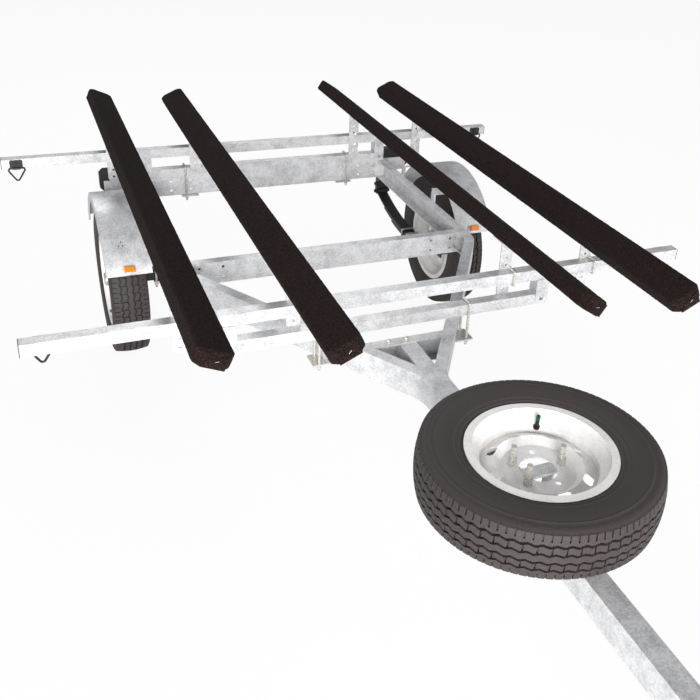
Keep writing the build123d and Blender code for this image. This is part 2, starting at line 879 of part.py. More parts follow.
def fender():
    """Rolled half-round fender with a skirt along its outer edge."""
    skin = Pos((fender_inner_span + fender_outer_span) / 2, fender_radius - fender_wall / 2) * Rectangle(
        fender_outer_span - fender_inner_span, fender_wall)
    skirt = Pos(fender_outer_span - fender_wall / 2, fender_radius - fender_skirt / 2) * Rectangle(
        fender_wall, fender_skirt)
    section = Plane.XZ * (skin + skirt)
    arc = 180 - 2 * fender_end_deg
    rolled = revolve(section, axis=Axis.X, revolution_arc=arc)
    return Pos(0, 0, axle_height) * Rot(-arc / 2, 0, 0) * rolled


def fender_arm(side):
    """Bent strap from the rail's web to the underside of the fender skin."""
    outer = fender_radius - fender_wall - fit_gap
    reach_low = rail_half_span + fit_gap
    reach_high = (fender_inner_span + fender_outer_span) / 2
    section = Plane.XZ * Pos((reach_low + reach_high) / 2, outer - fender_arm_wall / 2) * Rectangle(
        reach_high - reach_low, fender_arm_wall)
    turn = 90 - fender_arm_deg
    strip = revolve(section, axis=Axis.X, revolution_arc=fender_arm_arc_deg)
    strip = Rot(side * turn - fender_arm_arc_deg / 2, 0, 0) * strip
    height = outer * sin(radians(fender_arm_deg)) - fender_arm_wall
    station = -side * outer * cos(radians(fender_arm_deg))
    half = outer * radians(fender_arm_arc_deg) / 2
    leg = block(
        (reach_low, reach_low + fender_arm_wall), (station - half, station + half),
        (rail_top - fender_arm_drop - axle_height, height))
    return Pos(0, 0, axle_height) * (strip + leg)


def tail_lamp_housing():
    """Black lamp body with clipped corners; the lens sits behind it."""
    front = rail_tail_station + lamp_plate_wall + fit_gap
    body = Box(lamp_wide, lamp_deep, lamp_high)
    body = chamfer(body.edges().filter_by(Axis.Y), lamp_clip)
    return Pos(lamp_span, front + lamp_deep / 2, lamp_centre_height) * body


def tail_lamp_lens():
    """Red lens on the rear face of the housing."""
    front = rail_tail_station + lamp_plate_wall + 2 * fit_gap + lamp_deep
    lens = Box(lamp_wide - 2 * lamp_rim, lamp_lens_deep, lamp_high - 2 * lamp_rim)
    lens = chamfer(lens.edges().filter_by(Axis.Y), lamp_clip)
    rear_edges = lens.faces().sort_by(Axis.Y)[-1].edges()
    lens = fillet(rear_edges, lamp_rim)
    return Pos(lamp_span, front + lamp_lens_deep / 2, lamp_centre_height) * lens


def lamp_plate():
    """Plate across the rail's tail that carries the lamp."""
    reach = lamp_span + lamp_wide / 2 - lamp_clip
    return block(
        (rail_half_span - rail_flange, reach),
        (rail_tail_station + fit_gap / 2, rail_tail_station + fit_gap / 2 + lamp_plate_wall),
        (rail_bottom + rail_wall, rail_bottom + rail_wall + lamp_plate_high),
    )


def side_marker():
    """Amber marker on the front end of the fender skin."""
    turn = 90 - fender_end_deg
    lens = Box(marker_wide, marker_high, marker_deep)
    lens = fillet(lens.edges().group_by(Axis.Z)[-1], marker_deep / 4)
    lift = fender_radius + fit_gap + marker_deep / 2
    across = (fender_inner_span + fender_outer_span) / 2
    drop_deg = degrees(marker_high / fender_radius)
    return Pos(across, 0, axle_height) * Rot(turn - drop_deg, 0, 0) * Pos(0, 0, lift) * lens


def coupler():
    """Pressed coupler: a channel over the tongue and a round socket nose."""
    nose = ball_station - coupler_nose
    tail = nose + coupler_long
    half = coupler_wide / 2
    top = tongue_top + fit_gap + coupler_wall
    low = ball_height - ball_radius / 2
    shell = block((-half, half), (ball_station, tail), (low, top))
    shell += rod_z(coupler_nose, top - low, (0, ball_station, (top + low) / 2))
    shell = fillet(shell.edges().group_by(Axis.Z)[-1], coupler_wall)
    ball_hole = Pos(0, ball_station, ball_height) * Sphere(ball_radius + socket_gap)
    throat = rod_z(
        ball_radius + socket_gap, ball_height - low + overrun,
        (0, ball_station, (ball_height + low - overrun) / 2))
    inner = tongue_wide / 2 + fit_gap
    slot = block(
        (-inner, inner), (ball_station + coupler_nose, tail + overrun),
        (low - overrun, top - coupler_wall))
    return shell - ball_hole - throat - slot


def coupler_latch():
    """Latch lever that lies on the coupler's top."""
    top = tongue_top + fit_gap + coupler_wall
    start = ball_station + ball_radius
    rise = latch_long * tan(radians(latch_slope_deg))
    side = prism_x(
        ((start, top + fit_gap), (start, top + latch_high),
         (start + latch_long, top + latch_high + rise),
         (start + latch_long, top + latch_high + rise - latch_wall),
         (start + latch_long / 2, top + fit_gap)),
        -latch_wide / 2, latch_wide / 2)
    return fillet(side.edges().filter_by(Axis.X).group_by(Axis.Z)[-1], latch_wall / 4)


def spare_carrier():
    """Saddle over the tongue, a bar under the wheel disc and its studs."""
    half = tongue_wide / 2 + fit_gap
    disc_low = spare_middle - disc_wall - fit_gap
    saddle_top = tongue_top + fit_gap + carrier_wall
    length = (spare_station - carrier_long / 2, spare_station + carrier_long / 2)
    saddle = block((-half - carrier_wall, half + carrier_wall), length, (tongue_middle, saddle_top))
    saddle -= block(
        (-half, half), (length[0] - overrun, length[1] + overrun),
        (tongue_middle - overrun, tongue_top + fit_gap))
    post = block(
        (-carrier_wide / 2, carrier_wide / 2),
        (spare_station - carrier_bar_wide / 2, spare_station + carrier_bar_wide / 2),
        (saddle_top, disc_low))
    post -= block(
        (-carrier_wide / 2 + carrier_wall, carrier_wide / 2 - carrier_wall),
        (spare_station - carrier_bar_wide, spare_station + carrier_bar_wide),
        (saddle_top, disc_low - carrier_bar_wall))
    bar = Box(2 * lug_circle_radius + carrier_bar_wide, carrier_bar_wide, carrier_bar_wall)
    piece = saddle + post + Pos(0, spare_station, disc_low - carrier_bar_wall / 2) * bar
    return piece


def carrier_studs():
    """Studs and nuts that hold the spare wheel on the carrier bar."""
    disc_low = spare_middle - disc_wall - fit_gap
    pieces = []
    for turn in spare_lugs:
        angle = radians(turn * 360 / lug_count + spare_turn_deg)
        x = lug_circle_radius * cos(angle)
        y = spare_station + lug_circle_radius * sin(angle)
        base = disc_low + fit_gap
        stud = rod_z(carrier_rod_radius, carrier_rod_long, (x, y, base + carrier_rod_long / 2))
        nut = extrude(RegularPolygon(lug_nut_radius, 6), amount=lug_nut_high)
        pieces.append(stud + Pos(x, y, spare_middle + fit_gap) * nut)
    return joined(pieces)


spare_lugs = (0, 2, 3)
spare_turn_deg = 0.0


def jack_bracket():
    """Plate and stub on the side of the tongue, with its clamp plate."""
    face = -tongue_wide / 2 - fit_gap
    plate = block(
        (face - jack_plate_wall, face),
        (jack_station - jack_plate_side / 2, jack_station + jack_plate_side / 2),
        (tongue_middle - jack_plate_side / 2, tongue_middle + jack_plate_side / 2))
    stub_end = -jack_offset + jack_outer_radius + jack_socket_wall + fit_gap
    stub_length = face - jack_plate_wall - stub_end
    stub = rod_x(
        jack_barrel_radius, stub_length,
        (face - jack_plate_wall - stub_length / 2, jack_station, tongue_middle))
    plate += stub
    far = tongue_wide / 2 + fit_gap
    plate_far = block(
        (far, far + jack_plate_wall),
        (jack_station - jack_plate_side / 2, jack_station + jack_plate_side / 2),
        (tongue_middle - jack_plate_side / 2, tongue_middle + jack_plate_side / 2))
    pieces = [plate, plate_far]
    for along in (-1, 1):
        for up in (-1, 1):
            centre = (
                0, jack_station + along * jack_rod_spread / 2,
                tongue_middle + up * jack_rod_spread / 2)
            length = tongue_wide + 2 * (jack_plate_wall + nut_high + fit_gap)
            pieces.append(rod_x(rod_radius, length, centre))
    return joined(pieces)


def jack_leg():
    """Outer tube with its swivel socket, top cap and crank shaft boss."""
    x = -jack_offset
    height = jack_outer_top - jack_outer_bottom
    middle = (jack_outer_top + jack_outer_bottom) / 2
    tube = rod_z(jack_outer_radius, height, (x, jack_station, middle))
    socket_low = x + jack_outer_radius - jack_socket_wall
    socket_high = x + jack_outer_radius + jack_socket_wall
    tube += rod_x(
        jack_barrel_radius, socket_high - socket_low,
        ((socket_low + socket_high) / 2, jack_station, tongue_middle))
    bore = jack_inner_radius + jack_sleeve_gap
    tube -= rod_z(bore, height + 2 * overrun, (x, jack_station, middle))
    cap = rod_z(
        jack_outer_radius + jack_outer_wall, jack_cap_high,
        (x, jack_station, jack_outer_top + jack_cap_high / 2))
    tube += fillet(cap.edges().group_by(Axis.Z)[-1], jack_outer_wall)
    return tube


def jack_crank():
    """Side-wind crank: arm and grip on a shaft through the cap."""
    x = -jack_offset
    top = jack_outer_top + jack_cap_high + fit_gap
    shaft_height = top + crank_drop / 2
    hub_block = rod_z(jack_outer_radius - jack_outer_wall, crank_drop, (x, jack_station, shaft_height))
    out = x - jack_outer_radius - crank_radius * 2
    points = (
        (x, jack_station, shaft_height),
        (out, jack_station, shaft_height),
        (out, jack_station, shaft_height - crank_arm),
        (out - crank_grip, jack_station, shaft_height - crank_arm),
    )
    arm = bent_rod(points, crank_radius, crank_radius * 2)
    grip = rod_x(
        crank_grip_radius, crank_grip - 3 * crank_radius,
        (out - crank_grip / 2 - crank_radius, jack_station, shaft_height - crank_arm))
    return hub_block + arm + fillet(grip.edges(), crank_radius / 2)


def jack_ram():
    """Inner tube with the swivel pin below it."""
    x = -jack_offset
    height = jack_inner_top - jack_inner_bottom
    middle = (jack_inner_top + jack_inner_bottom) / 2
    ram = rod_z(jack_inner_radius, height, (x, jack_station, middle))
    bore_low = jack_inner_bottom + jack_inner_radius
    ram -= rod_z(
        jack_inner_radius - jack_inner_wall, jack_inner_top - bore_low + overrun,
        (x, jack_station, (bore_low + jack_inner_top + overrun) / 2))
    pin_low = fork_top - jack_swivel_plate
    return ram + rod_z(
        jack_pin_radius, jack_inner_bottom - pin_low,
        (x, jack_station, (jack_inner_bottom + pin_low) / 2))


def jack_fork():
    """Bent fork with its collar, cheeks and wheel axle."""
    x = -jack_offset
    half = jack_wheel_wide / 2 + fork_gap
    out = half + fork_wall
    wheel_station = jack_station + jack_trail
    plate = block(
        (x - out, x + out),
        (jack_station - fork_wide / 2, jack_station + fork_wide / 2),
        (fork_top - jack_swivel_plate, fork_top))
    collar_top = jack_inner_bottom - fit_gap
    plate += rod_z(
        2 * jack_pin_radius, collar_top - fork_top,
        (x, jack_station, (collar_top + fork_top) / 2))
    plate -= rod_z(
        jack_pin_radius + bearing_gap, 4 * jack_swivel_plate + collar_top - fork_top,
        (x, jack_station, fork_top))
    for side in (-1, 1):
        cheek_x = sorted((x + side * half, x + side * out))
        plate += prism_x(
            ((jack_station - fork_wide / 2, fork_top),
             (jack_station + fork_wide / 2, fork_top),
             (wheel_station + fork_wide / 3, jack_wheel_radius - fork_wide / 3),
             (wheel_station - fork_wide / 3, jack_wheel_radius - fork_wide / 3)),
            cheek_x[0], cheek_x[1])
    axle_place = (x, wheel_station, jack_wheel_radius)
    return plate + rod_x(jack_wheel_bore - bearing_gap, 2 * (out + nut_high), axle_place)


def jack_wheel():
    """Solid caster wheel with a recessed face."""
    body = Cylinder(jack_wheel_radius, jack_wheel_wide)
    body = fillet(body.edges(), fork_wall)
    recess_depth = jack_wheel_wide / 5
    for side in (-1, 1):
        ring = Pos(0, 0, side * (jack_wheel_wide / 2)) * (
            Cylinder(jack_wheel_radius * jack_recess_share, 2 * recess_depth)
            - Cylinder(2 * jack_wheel_bore, 3 * recess_depth))
        body -= ring
    body -= Cylinder(jack_wheel_bore, 2 * jack_wheel_wide)
    place = Pos(-jack_offset, jack_station + jack_trail, jack_wheel_radius)
    return place * Rot(0, 90, 0) * body


def main():
    # Frame
    rail = left_rail()
    write("rail_left", rail)
    write("rail_right", mirror(rail, about=Plane.YZ))
    tongue_rear = front_cross_station - cross_wall - fit_gap
    tongue_front = ball_station + coupler_nose + fit_gap
    tongue = block(
        (-tongue_wide / 2, tongue_wide / 2), (tongue_front, tongue_rear),
        (tongue_top - tongue_high, tongue_top))
    tongue -= block(
        (-tongue_wide / 2 + tongue_wall, tongue_wide / 2 - tongue_wall),
        (tongue_front - overrun, tongue_rear + overrun),
        (tongue_top - tongue_high + tongue_wall, tongue_top - tongue_wall))
    write("tongue_tube", tongue)

    rear_web = rear_bar_station - cross_flange / 2
    hole_low = (rail_bottom + rail_top) / 2 - cross_hole_rise / 2
    hole_high = hole_low + cross_hole_rise
    for name, station, hole_span in (
            ("rear", rear_web, rear_hole_span), ("middle", middle_cross_station, middle_hole_span)):
        places = [(side * (hole_span + half * cross_hole_pitch / 2), height)
                  for side in (-1, 1) for half in (-1, 1) for height in (hole_low, hole_high)]
        piece = crossmember(station, 1, rail_half_span - rail_wall - fit_gap)
        write(f"crossmember_{name}", punch(piece, places, station))
    front = crossmember(front_cross_station, -1, rail_outer_at(front_cross_station))
    write("crossmember_front", front)

    # Cross tubes, risers and load bars
    rows = (("front", front_bar_station, 1, clamp_front_span), ("rear", rear_bar_station, -1, clamp_rear_span))
    riser_piece = riser()
    saddles = []
    rings = []
    for row, station, inward, clamp_span in rows:
        tube_centre = (tube_bottom + tube_top) / 2
        tube = square_tube_x(tube_side, tube_wall, tube_half_length, station, tube_centre)
        hole_place = (tube_half_length - riser_wide / 2, station, tube_bottom + riser_hole_rise)
        for hole in both_sides(rod_y(riser_hole_radius, 2 * tube_side, hole_place)):
            tube -= hole
        write(f"lower_tube_{row}", tube)
        write(f"risers_{row}", joined(both_sides(Pos(0, station, 0) * riser_piece)))
        write(f"load_bar_{row}", square_tube_x(bar_side, bar_wall, bar_half_length, station, bar_middle))
        write(f"tube_clamps_{row}", joined(both_sides(tube_clamp(clamp_span, station))))
        straps = [strap_with_holes(across, tilt, station, inward) for name, across, tilt, place in bunks]
        write(f"bunk_straps_{row}", joined(straps))
        clamps = [strap_clamp(across, tilt, station, inward) for name, across, tilt, place in bunks]
        write(f"strap_u_bolts_{row}", joined(clamps))
        saddles += both_sides(anchor_saddle(anchor_span, station, inward))
        rings += both_sides(anchor_ring(anchor_span, station, inward))
    caps = both_sides(end_cap(front_bar_station)) + both_sides(end_cap(rear_bar_station))
    write("load_bar_caps", joined(caps))
    write("tie_down_saddles", joined(saddles))
    write("tie_down_rings", joined(rings))
    for name, across, tilt, place in bunks:
        write(name, bunk(across, tilt, place))

    # Axle, springs, hubs and wheels
    write("axle", axle_beam())
    spring = Pos(spring_span, 0, 0) * leaf_spring()
    write("leaf_spring_left", spring)
    write("leaf_spring_right", mirror(spring, about=Plane.YZ))
    write("spring_hangers", joined(both_sides(Pos(spring_span, 0, 0) * hanger_set())))
    write("axle_clamps", joined(both_sides(Pos(spring_span, 0, 0) * axle_clamp())))
    wheel = wheel_disc()
    tyre = tyre_ring()
    for name, piece in (("hub", hub()), ("wheel", wheel), ("tyre", tyre)):
        placed = on_left_hub(piece)
        write(f"{name}_left", placed)
        write(f"{name}_right", mirror(placed, about=Plane.YZ))

    # Fenders and lamps
    guard = fender()
    write("fender_left", guard)
    write("fender_right", mirror(guard, about=Plane.YZ))
    arms = both_sides(fender_arm(1)) + both_sides(fender_arm(-1))
    write("fender_brackets", joined(arms))
    write("tail_lamp_housings", joined(both_sides(tail_lamp_housing())))
    write("tail_lamp_lenses", joined(both_sides(tail_lamp_lens())))
    write("tail_lamp_plates", joined(both_sides(lamp_plate())))
    write("side_markers", joined(both_sides(side_marker())))

    # Spare wheel on the tongue
    write("spare_tyre", Pos(0, spare_station, spare_middle) * tyre)
    write("spare_wheel", Pos(0, spare_station, spare_middle) * Rot(0, 0, spare_turn_deg) * wheel)
    write("spare_carrier", spare_carrier())
    write("spare_studs", carrier_studs())

    # Coupler and jack
    write("coupler", coupler())
    write("coupler_latch", coupler_latch())
    write("jack_bracket", jack_bracket())
    write("jack_leg", jack_leg())
    write("jack_crank", jack_crank())
    write("jack_ram", jack_ram())
    write("jack_fork", jack_fork())
    write("jack_wheel", jack_wheel())


main()
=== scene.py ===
# %% [markdown]
# # Dressing a small boat trailer
# The CAD frame already holds every piece at its real size. This lesson adds what
# the eye expects: zinc spangle, needle-punched carpet, tyre tread, bolt heads and
# a plain studio. Lengths are in metres, +X is the trailer's left side, +Y its rear.

# %% Load the frame
import json
import math
import bpy
from mathutils import Matrix, Vector

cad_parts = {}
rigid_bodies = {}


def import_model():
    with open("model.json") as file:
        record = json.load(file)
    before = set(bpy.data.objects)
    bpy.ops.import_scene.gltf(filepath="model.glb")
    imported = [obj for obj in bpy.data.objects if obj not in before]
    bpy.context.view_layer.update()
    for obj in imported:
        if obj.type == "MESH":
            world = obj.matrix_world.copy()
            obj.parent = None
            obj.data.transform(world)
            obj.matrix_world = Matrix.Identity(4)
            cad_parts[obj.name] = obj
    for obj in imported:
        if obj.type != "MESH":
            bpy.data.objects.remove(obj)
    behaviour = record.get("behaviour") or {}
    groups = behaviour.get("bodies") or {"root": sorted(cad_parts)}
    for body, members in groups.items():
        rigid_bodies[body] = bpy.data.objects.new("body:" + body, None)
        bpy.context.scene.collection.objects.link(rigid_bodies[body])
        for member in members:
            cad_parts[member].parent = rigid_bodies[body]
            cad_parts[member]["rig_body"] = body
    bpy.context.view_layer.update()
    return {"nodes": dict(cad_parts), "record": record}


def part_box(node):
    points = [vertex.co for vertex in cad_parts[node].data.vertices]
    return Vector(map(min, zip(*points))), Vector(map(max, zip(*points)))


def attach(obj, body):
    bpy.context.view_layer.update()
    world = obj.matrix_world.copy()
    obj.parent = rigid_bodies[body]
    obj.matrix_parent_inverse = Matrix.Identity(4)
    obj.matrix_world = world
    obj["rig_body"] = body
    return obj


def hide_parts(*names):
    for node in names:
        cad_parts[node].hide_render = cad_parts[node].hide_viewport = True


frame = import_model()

nodes = frame["nodes"]
body_of_node = {n: nodes[n]["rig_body"] for n in nodes}
print("loaded", len(nodes), "nodes")

# %% [markdown]
# Every finish is a small node tree on Object coordinates. Each CAD node keeps its
# place in its mesh, so a pattern read from Object coordinates stays on the metal
# when a wheel turns. Colours are given as the eye sees them and converted once.

# %% Helpers for materials


def linear(colour):
    """Turn a display colour into the linear one that the shader wants."""
    light = [c / 12.92 if c <= 0.04045 else ((c + 0.055) / 1.055) ** 2.4 for c in colour]
    return light + [1.0]


def plain_material(name, colour, metallic, roughness):
    """A principled surface with fixed values, ready for a pattern."""
    material = bpy.data.materials.new(name)
    material.use_nodes = True
    shader = material.node_tree.nodes["Principled BSDF"]
    shader.inputs["Base Color"].default_value = linear(colour)
    shader.inputs["Metallic"].default_value = metallic
    shader.inputs["Roughness"].default_value = roughness
    return material, shader


def noise_node(material, scale, detail=4.0):
    """Noise texture on Object coordinates; scale counts blotches per metre."""
    tree = material.node_tree
    place = tree.nodes.new("ShaderNodeTexCoord")
    noise = tree.nodes.new("ShaderNodeTexNoise")
    noise.inputs["Scale"].default_value = scale
    noise.inputs["Detail"].default_value = detail
    tree.links.new(place.outputs["Object"], noise.inputs["Vector"])
    return noise.outputs["Fac"]


def ramp_node(material, source, stops):
    """Colour ramp from (place, display colour) stops."""
    tree = material.node_tree
    ramp = tree.nodes.new("ShaderNodeValToRGB")
    points = ramp.color_ramp.elements
    points[0].position, points[0].color = stops[0][0], linear(stops[0][1])
    points[1].position, points[1].color = stops[-1][0], linear(stops[-1][1])
    for place, colour in stops[1:-1]:
        points.new(place).color = linear(colour)
    tree.links.new(source, ramp.inputs["Fac"])
    return ramp.outputs["Color"]


def range_node(material, source, low, high):
    """Map a 0 to 1 pattern onto low to high."""
    tree = material.node_tree
    spread = tree.nodes.new("ShaderNodeMapRange")
    spread.inputs["To Min"].default_value = low
    spread.inputs["To Max"].default_value = high
    tree.links.new(source, spread.inputs["Value"])
    return spread.outputs["Result"]


def bump(material, shader, source, strength, distance):
    """Feed a pattern to the shader as fine relief."""
    tree = material.node_tree
    relief = tree.nodes.new("ShaderNodeBump")
    relief.inputs["Strength"].default_value = strength
    relief.inputs["Distance"].default_value = distance
    tree.links.new(source, relief.inputs["Height"])
    tree.links.new(relief.outputs["Normal"], shader.inputs["Normal"])


def connect(material, source, socket):
    material.node_tree.links.new(source, socket)


print("helpers for finishes ready; mid grey is", [round(c, 3) for c in linear((0.5, 0.5, 0.5))])

# %% [markdown]
# Hot-dip galvanizing leaves crystals a few millimetres to a centimetre across, the
# spangle, over broad cloudy patches where the bath cooled unevenly. A Voronoi cell
# pattern gives the crystals and a slow noise the clouds. Both also change the
# roughness, because each crystal shines at its own angle.

# %% Galvanized steel


def zinc_material(name, dark, pale, cell_scale, rough_low, rough_high, metallic):
    """Crystals over clouds, from dark to pale; cell_scale counts crystals per metre."""
    material, shader = plain_material(name, pale, metallic, rough_low)
    tree = material.node_tree
    place = tree.nodes.new("ShaderNodeTexCoord")
    cells = tree.nodes.new("ShaderNodeTexVoronoi")
    cells.inputs["Scale"].default_value = cell_scale
    tree.links.new(place.outputs["Object"], cells.inputs["Vector"])
    split = tree.nodes.new("ShaderNodeSeparateColor")
    tree.links.new(cells.outputs["Color"], split.inputs["Color"])
    clouds = noise_node(material, cloud_scale)
    blend = tree.nodes.new("ShaderNodeMath")
    blend.operation = "MULTIPLY_ADD"
    blend.inputs[1].default_value = spangle_share
    tree.links.new(split.outputs["Red"], blend.inputs[0])
    tree.links.new(clouds, blend.inputs[2])
    tint = ramp_node(material, blend.outputs[0], ((0.3, dark), (0.85, pale)))
    connect(material, tint, shader.inputs["Base Color"])
    shine = range_node(material, split.outputs["Green"], rough_low, rough_high)
    connect(material, shine, shader.inputs["Roughness"])
    bump(material, shader, clouds, 0.12, 0.0003)
    return material


cloud_scale = 26.0
spangle_share = 0.35
looks = {
    "galvanized": zinc_material(
        "galvanized_spangle", (0.68, 0.68, 0.69), (0.87, 0.87, 0.87), 260.0, 0.34, 0.46, 0.4),
    "zinc_steel": zinc_material(
        "bright_zinc", (0.74, 0.73, 0.71), (0.84, 0.83, 0.8), 400.0, 0.26, 0.36, 0.6),
    "hub_steel": zinc_material(
        "hub_zinc", (0.68, 0.67, 0.64), (0.85, 0.84, 0.8), 400.0, 0.22, 0.34, 0.7),
    "wheel_paint": zinc_material(
        "wheel_zinc", (0.88, 0.87, 0.86), (0.95, 0.94, 0.93), 300.0, 0.34, 0.44, 0.15),
}
print("metal finishes", sorted(looks))

# %% [markdown]
# Carpet is a mat of short fibres. Seen from a step away it is a brown near to black,
# with a faint bloom at grazing angles where the fibre tips catch the light. A little
# sheen on the shader gives the bloom, and a fine noise gives the tufts.

# %% Carpet
tuft_stops = (
    (0.34, (0.06, 0.042, 0.04)),
    (0.5, (0.125, 0.088, 0.084)),
    (0.68, (0.21, 0.16, 0.152)),
)
carpet, shader = plain_material("carpet_fibre", (0.17, 0.13, 0.13), 0.0, 0.95)
shader.inputs["Sheen Weight"].default_value = 0.015
shader.inputs["Sheen Roughness"].default_value = 0.6
shader.inputs["Specular IOR Level"].default_value = 0.05
tufts = noise_node(carpet, 340.0, 6.0)
connect(carpet, ramp_node(carpet, tufts, tuft_stops), shader.inputs["Base Color"])
bump(carpet, shader, tufts, 0.9, 0.003)
looks["carpet"] = carpet
print("carpet from", len(tuft_stops), "browns")

# %% [markdown]
# The rest are simple: rubber that has a faint grain, satin paint, moulded plastic and
# lens plastic. A lens is not glass here, because nothing inside it shows.

# %% Rubber, paint, plastic and lenses


def grained(name, colour, roughness, scale, depth, low_share=0.8):
    """One colour with a fine grain; the grain's low places take low_share of it."""
    material, shader = plain_material(name, colour, 0.0, roughness)
    grain = noise_node(material, scale)
    dark = [c * low_share for c in colour]
    tint = ramp_node(material, grain, ((0.3, dark), (0.7, colour)))
    connect(material, tint, shader.inputs["Base Color"])
    shine = range_node(material, grain, roughness - grain_spread, roughness + grain_spread)
    connect(material, shine, shader.inputs["Roughness"])
    bump(material, shader, grain, 0.3, depth)
    return material


grain_spread = 0.08
looks.update({
    "tyre_rubber": grained("tyre_rubber", (0.225, 0.197, 0.192), 0.66, 260.0, 0.0006),
    "black_steel": grained("satin_black_paint", (0.12, 0.12, 0.125), 0.42, 90.0, 0.0003),
    "black_plastic": grained("black_plastic", (0.1, 0.1, 0.1), 0.5, 500.0, 0.0002),
    "black_wire": grained("coated_wire", (0.09, 0.09, 0.09), 0.4, 300.0, 0.0002),
    "roller_plastic": grained("roller_plastic", (0.2, 0.2, 0.21), 0.55, 300.0, 0.0003),
    "red_lens": grained("red_lens", (0.62, 0.06, 0.05), 0.2, 700.0, 0.0002, 0.85),
    "amber_lens": grained("amber_lens", (0.95, 0.55, 0.12), 0.2, 700.0, 0.0002, 0.85),
    "valve_green": grained("valve_green", (0.05, 0.32, 0.2), 0.4, 500.0, 0.0001),
})

record_slots = {part["node"]: part["material_slot"] for part in frame["record"]["subparts"]}
for name, node in nodes.items():
    node.data.materials.clear()
    node.data.materials.append(looks[record_slots[name]])
print("painted", len(nodes), "nodes with", len(set(record_slots.values())), "finishes")

# %% [markdown]
# New pieces are modelled with the same operators as by hand. These helpers keep the
# steps short: clear the selection, add a primitive, apply a modifier, join pieces.
# A finished object sits at the origin with its place in its mesh.

# %% Helpers for modelling


def nothing_selected():
    bpy.ops.object.select_all(action="DESELECT")


def only(piece):
    nothing_selected()
    piece.select_set(True)
    bpy.context.view_layer.objects.active = piece


def settle(piece):
    """Put the object's place, turn and size into its mesh."""
    only(piece)
    bpy.ops.object.transform_apply(location=True, rotation=True, scale=True)
    return piece


def apply_modifier(piece, kind, **values):
    """Add a modifier, set its values and apply it."""
    only(piece)
    modifier = piece.modifiers.new(kind.lower(), kind)
    for key, value in values.items():
        setattr(modifier, key, value)
    bpy.ops.object.modifier_apply(modifier=modifier.name)
    return piece


def cube(size, centre, turn=(0, 0, 0)):
    nothing_selected()
    bpy.ops.mesh.primitive_cube_add(size=1, location=centre, rotation=turn)
    piece = bpy.context.active_object
    piece.scale = size
    bpy.ops.object.transform_apply(location=False, rotation=False, scale=True)
    return piece


def cylinder(radius, depth, centre, turn=(0, 0, 0), sides=24):
    nothing_selected()
    bpy.ops.mesh.primitive_cylinder_add(
        vertices=sides, radius=radius, depth=depth, location=centre, rotation=turn)
    return bpy.context.active_object


def joined(pieces, name):
    """One object of all pieces, settled at the origin."""
    nothing_selected()
    for piece in pieces:
        piece.select_set(True)
    bpy.context.view_layer.objects.active = pieces[0]
    if len(pieces) > 1:
        bpy.ops.object.join()
    whole = bpy.context.active_object
    whole.name = name
    return settle(whole)


def finish_piece(piece, look, body, smooth_deg=35.0):
    """Give a piece its finish and its body."""
    only(piece)
    bpy.ops.object.shade_smooth_by_angle(angle=math.radians(smooth_deg))
    piece.data.materials.clear()
    piece.data.materials.append(looks[look])
    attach(piece, body)
    return piece


def copied(piece, name, move):
    """A copy with its own mesh, moved by a matrix."""
    twin = piece.copy()
    twin.data = piece.data.copy()
    twin.name = name
    bpy.context.scene.collection.objects.link(twin)
    twin.data.transform(move)
    return twin


def middle_of(name):
    """Middle of a CAD piece's box."""
    return sum(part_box(name), Vector()) / 2


def quarter_turn(axis, turns=1):
    return Matrix.Rotation(math.radians(90 * turns), 4, axis)


print("helpers ready; the axle's middle is at", tuple(round(v, 3) for v in middle_of("axle")))


# %% [markdown]
# ## Tyres
# A trailer tyre has five ribs round it, parted by zigzag grooves, and short cuts
# across each shoulder. Its outline, with thin rings on the sidewall, is drawn once
# and spun about the axle; single columns of the spun mesh are then shifted for the
# zigzag and pressed in for the cuts. Real cuts in the mesh keep their shadow from
# every side.

# %% Tyre outline and spin
tyre_radius = 0.269
bead_radius = 0.152
bead_half = 0.0476
side_radius = 0.168
side_half = 0.0506
belly_radius = 0.2105
belly_half = 0.062
shoulder_radius = 0.2625
shoulder_half = 0.0545
crown_drop = tyre_radius - shoulder_radius
groove_deep = 0.008
groove_wall = 0.0008
groove_rows = ((0.0075, 0.0130), (0.0270, 0.0330))
rib_middle = 0.0200
rib_rows = (0.0, 0.0075, 0.0130, rib_middle, 0.0270, 0.0330, 0.0400, 0.0470, 0.0525)
tread_columns = 480
zigzag_columns = 8
zigzag_reach = 0.0024
cut_columns = 5
cut_deep = 0.005
cut_start = 0.0400
slit_column = 2
tread_margin = 0.003
shoulder_margin = 0.001
near = 0.0001
side_steps = 34
side_rings = ((0.1745, 0.1775), (0.184, 0.187), (0.2335, 0.2365), (0.246, 0.2545))
ring_high = 0.0013


def crown(across):
    """Radius of the tread at a distance from its middle."""
    return tyre_radius - crown_drop * (across / shoulder_half) ** 2


def arc_points(first, middle, last, count):
    """Points on the circle through three points, without the first."""
    (ax, ay), (bx, by), (cx, cy) = first, middle, last
    aa, bb, cc = ax * ax + ay * ay, bx * bx + by * by, cx * cx + cy * cy
    d = 2 * (ax * (by - cy) + bx * (cy - ay) + cx * (ay - by))
    ux = (aa * (by - cy) + bb * (cy - ay) + cc * (ay - by)) / d
    uy = (aa * (cx - bx) + bb * (ax - cx) + cc * (bx - ax)) / d
    radius = math.hypot(ax - ux, ay - uy)
    start = math.atan2(ay - uy, ax - ux)
    end = math.atan2(cy - uy, cx - ux)
    if end - start > math.pi:
        end -= 2 * math.pi
    if start - end > math.pi:
        end += 2 * math.pi
    turns = [start + (end - start) * step / count for step in range(1, count + 1)]
    return [(ux + radius * math.cos(t), uy + radius * math.sin(t)) for t in turns]


